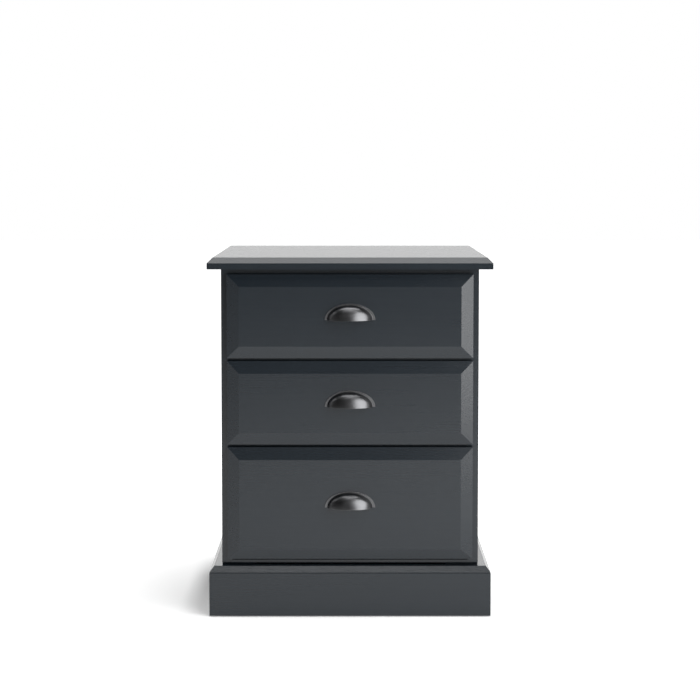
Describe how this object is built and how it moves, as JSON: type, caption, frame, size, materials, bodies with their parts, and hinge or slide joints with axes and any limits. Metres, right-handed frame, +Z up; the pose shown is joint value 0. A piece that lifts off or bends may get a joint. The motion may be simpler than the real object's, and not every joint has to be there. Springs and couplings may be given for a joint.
{
  "type": "bedside chest of drawers",
  "caption": "Bedside chest with a chamfered overhanging top, bevelled overlay drawer fronts with cup pulls, full-extension runners and a wrapped plinth.",
  "frame": {"origin": "on the floor, under the middle of the bounding box of the closed chest with its pulls", "axes": "+X to the chest's right as seen from its front, +Y to its back, +Z up; the drawers open towards -Y"},
  "size_m": [0.49, 0.445, 0.625],
  "materials": {
    "charcoal_paint": "satin charcoal paint over wood, faint horizontal grain",
    "birch": "clear matt lacquer over birch",
    "black_metal": "satin black, softly reflective",
    "zinc_steel": "bright zinc plate",
    "felt": "dense dark felt"
  },
  "bodies": {
    "case": {"top_board": "charcoal_paint", "left_side_panel": "charcoal_paint", "right_side_panel": "charcoal_paint", "back_panel": "charcoal_paint", "bottom_panel": "charcoal_paint", "top_front_rail": "charcoal_paint", "top_back_rail": "charcoal_paint", "upper_divider_rail": "charcoal_paint", "lower_divider_rail": "charcoal_paint", "plinth_front": "charcoal_paint", "plinth_left": "charcoal_paint", "plinth_right": "charcoal_paint", "plinth_back": "charcoal_paint", "plinth_corner_blocks": "birch", "glide_pads": "felt", "case_dowels": "birch", "top_fixing_screws": "zinc_steel", "back_panel_screws": "zinc_steel", "upper_left_cabinet_runner": "zinc_steel", "upper_right_cabinet_runner": "zinc_steel", "middle_left_cabinet_runner": "zinc_steel", "middle_right_cabinet_runner": "zinc_steel", "lower_left_cabinet_runner": "zinc_steel", "lower_right_cabinet_runner": "zinc_steel"},
    "upper_drawer": {"upper_drawer_front": "charcoal_paint", "upper_drawer_box_front": "birch", "upper_drawer_left_side": "birch", "upper_drawer_right_side": "birch", "upper_drawer_box_back": "birch", "upper_drawer_bottom": "birch", "upper_pull": "black_metal", "upper_pull_screws": "zinc_steel", "upper_front_screws": "zinc_steel", "upper_left_drawer_runner": "zinc_steel", "upper_right_drawer_runner": "zinc_steel"},
    "upper_runner_slides": {"upper_intermediate_runners": "zinc_steel"},
    "middle_drawer": {"middle_drawer_front": "charcoal_paint", "middle_drawer_box_front": "birch", "middle_drawer_left_side": "birch", "middle_drawer_right_side": "birch", "middle_drawer_box_back": "birch", "middle_drawer_bottom": "birch", "middle_pull": "black_metal", "middle_pull_screws": "zinc_steel", "middle_front_screws": "zinc_steel", "middle_left_drawer_runner": "zinc_steel", "middle_right_drawer_runner": "zinc_steel"},
    "middle_runner_slides": {"middle_intermediate_runners": "zinc_steel"},
    "lower_drawer": {"lower_drawer_front": "charcoal_paint", "lower_drawer_box_front": "birch", "lower_drawer_left_side": "birch", "lower_drawer_right_side": "birch", "lower_drawer_box_back": "birch", "lower_drawer_bottom": "birch", "lower_pull": "black_metal", "lower_pull_screws": "zinc_steel", "lower_front_screws": "zinc_steel", "lower_left_drawer_runner": "zinc_steel", "lower_right_drawer_runner": "zinc_steel"},
    "lower_runner_slides": {"lower_intermediate_runners": "zinc_steel"}
  },
  "joints": [
    {"name": "upper_drawer_slide", "type": "slide", "parent": "case", "child": "upper_drawer", "axis": [0, -1, 0], "range_m": [0, 0.35]},
    {"name": "upper_runner_slide", "type": "slide", "parent": "case", "child": "upper_runner_slides", "axis": [0, -1, 0], "range_m": [0, 0.175]},
    {"name": "middle_drawer_slide", "type": "slide", "parent": "case", "child": "middle_drawer", "axis": [0, -1, 0], "range_m": [0, 0.35]},
    {"name": "middle_runner_slide", "type": "slide", "parent": "case", "child": "middle_runner_slides", "axis": [0, -1, 0], "range_m": [0, 0.175]},
    {"name": "lower_drawer_slide", "type": "slide", "parent": "case", "child": "lower_drawer", "axis": [0, -1, 0], "range_m": [0, 0.35]},
    {"name": "lower_runner_slide", "type": "slide", "parent": "case", "child": "lower_runner_slides", "axis": [0, -1, 0], "range_m": [0, 0.175]}
  ],
  "couplings": [
    {"joint": "upper_runner_slide", "follows": "upper_drawer_slide", "ratio": 0.5},
    {"joint": "middle_runner_slide", "follows": "middle_drawer_slide", "ratio": 0.5},
    {"joint": "lower_runner_slide", "follows": "lower_drawer_slide", "ratio": 0.5}
  ]
}
